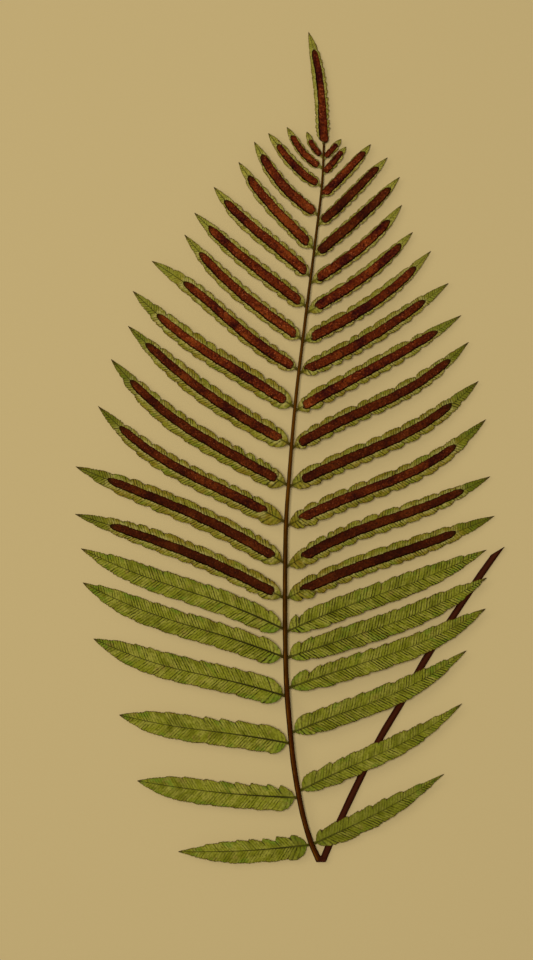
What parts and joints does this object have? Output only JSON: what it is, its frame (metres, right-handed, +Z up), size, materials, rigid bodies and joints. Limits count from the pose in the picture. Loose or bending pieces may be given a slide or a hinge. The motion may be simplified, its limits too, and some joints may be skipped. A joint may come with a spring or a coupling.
{
  "type": "toothed midsorus fern frond",
  "caption": "Fern frond lying down with its spore side up: a folded stipe, a thin rachis, and two rows of narrow toothed leaflets, the upper ones with a raised double band of sori.",
  "frame": {"origin": "on the surface that the frond lies on, under the middle of the frond's box", "axes": "+Y runs along the frond towards its tip leaflet, +X towards the side that the stipe is folded to, +Z up from the surface"},
  "size_m": [0.2367, 0.4586, 0.0135],
  "materials": {
    "leaf": "satin",
    "sori": "matte",
    "stalk": "satin"
  },
  "bodies": {
    "root": {"frond": "leaf"}
  },
  "joints": []
}
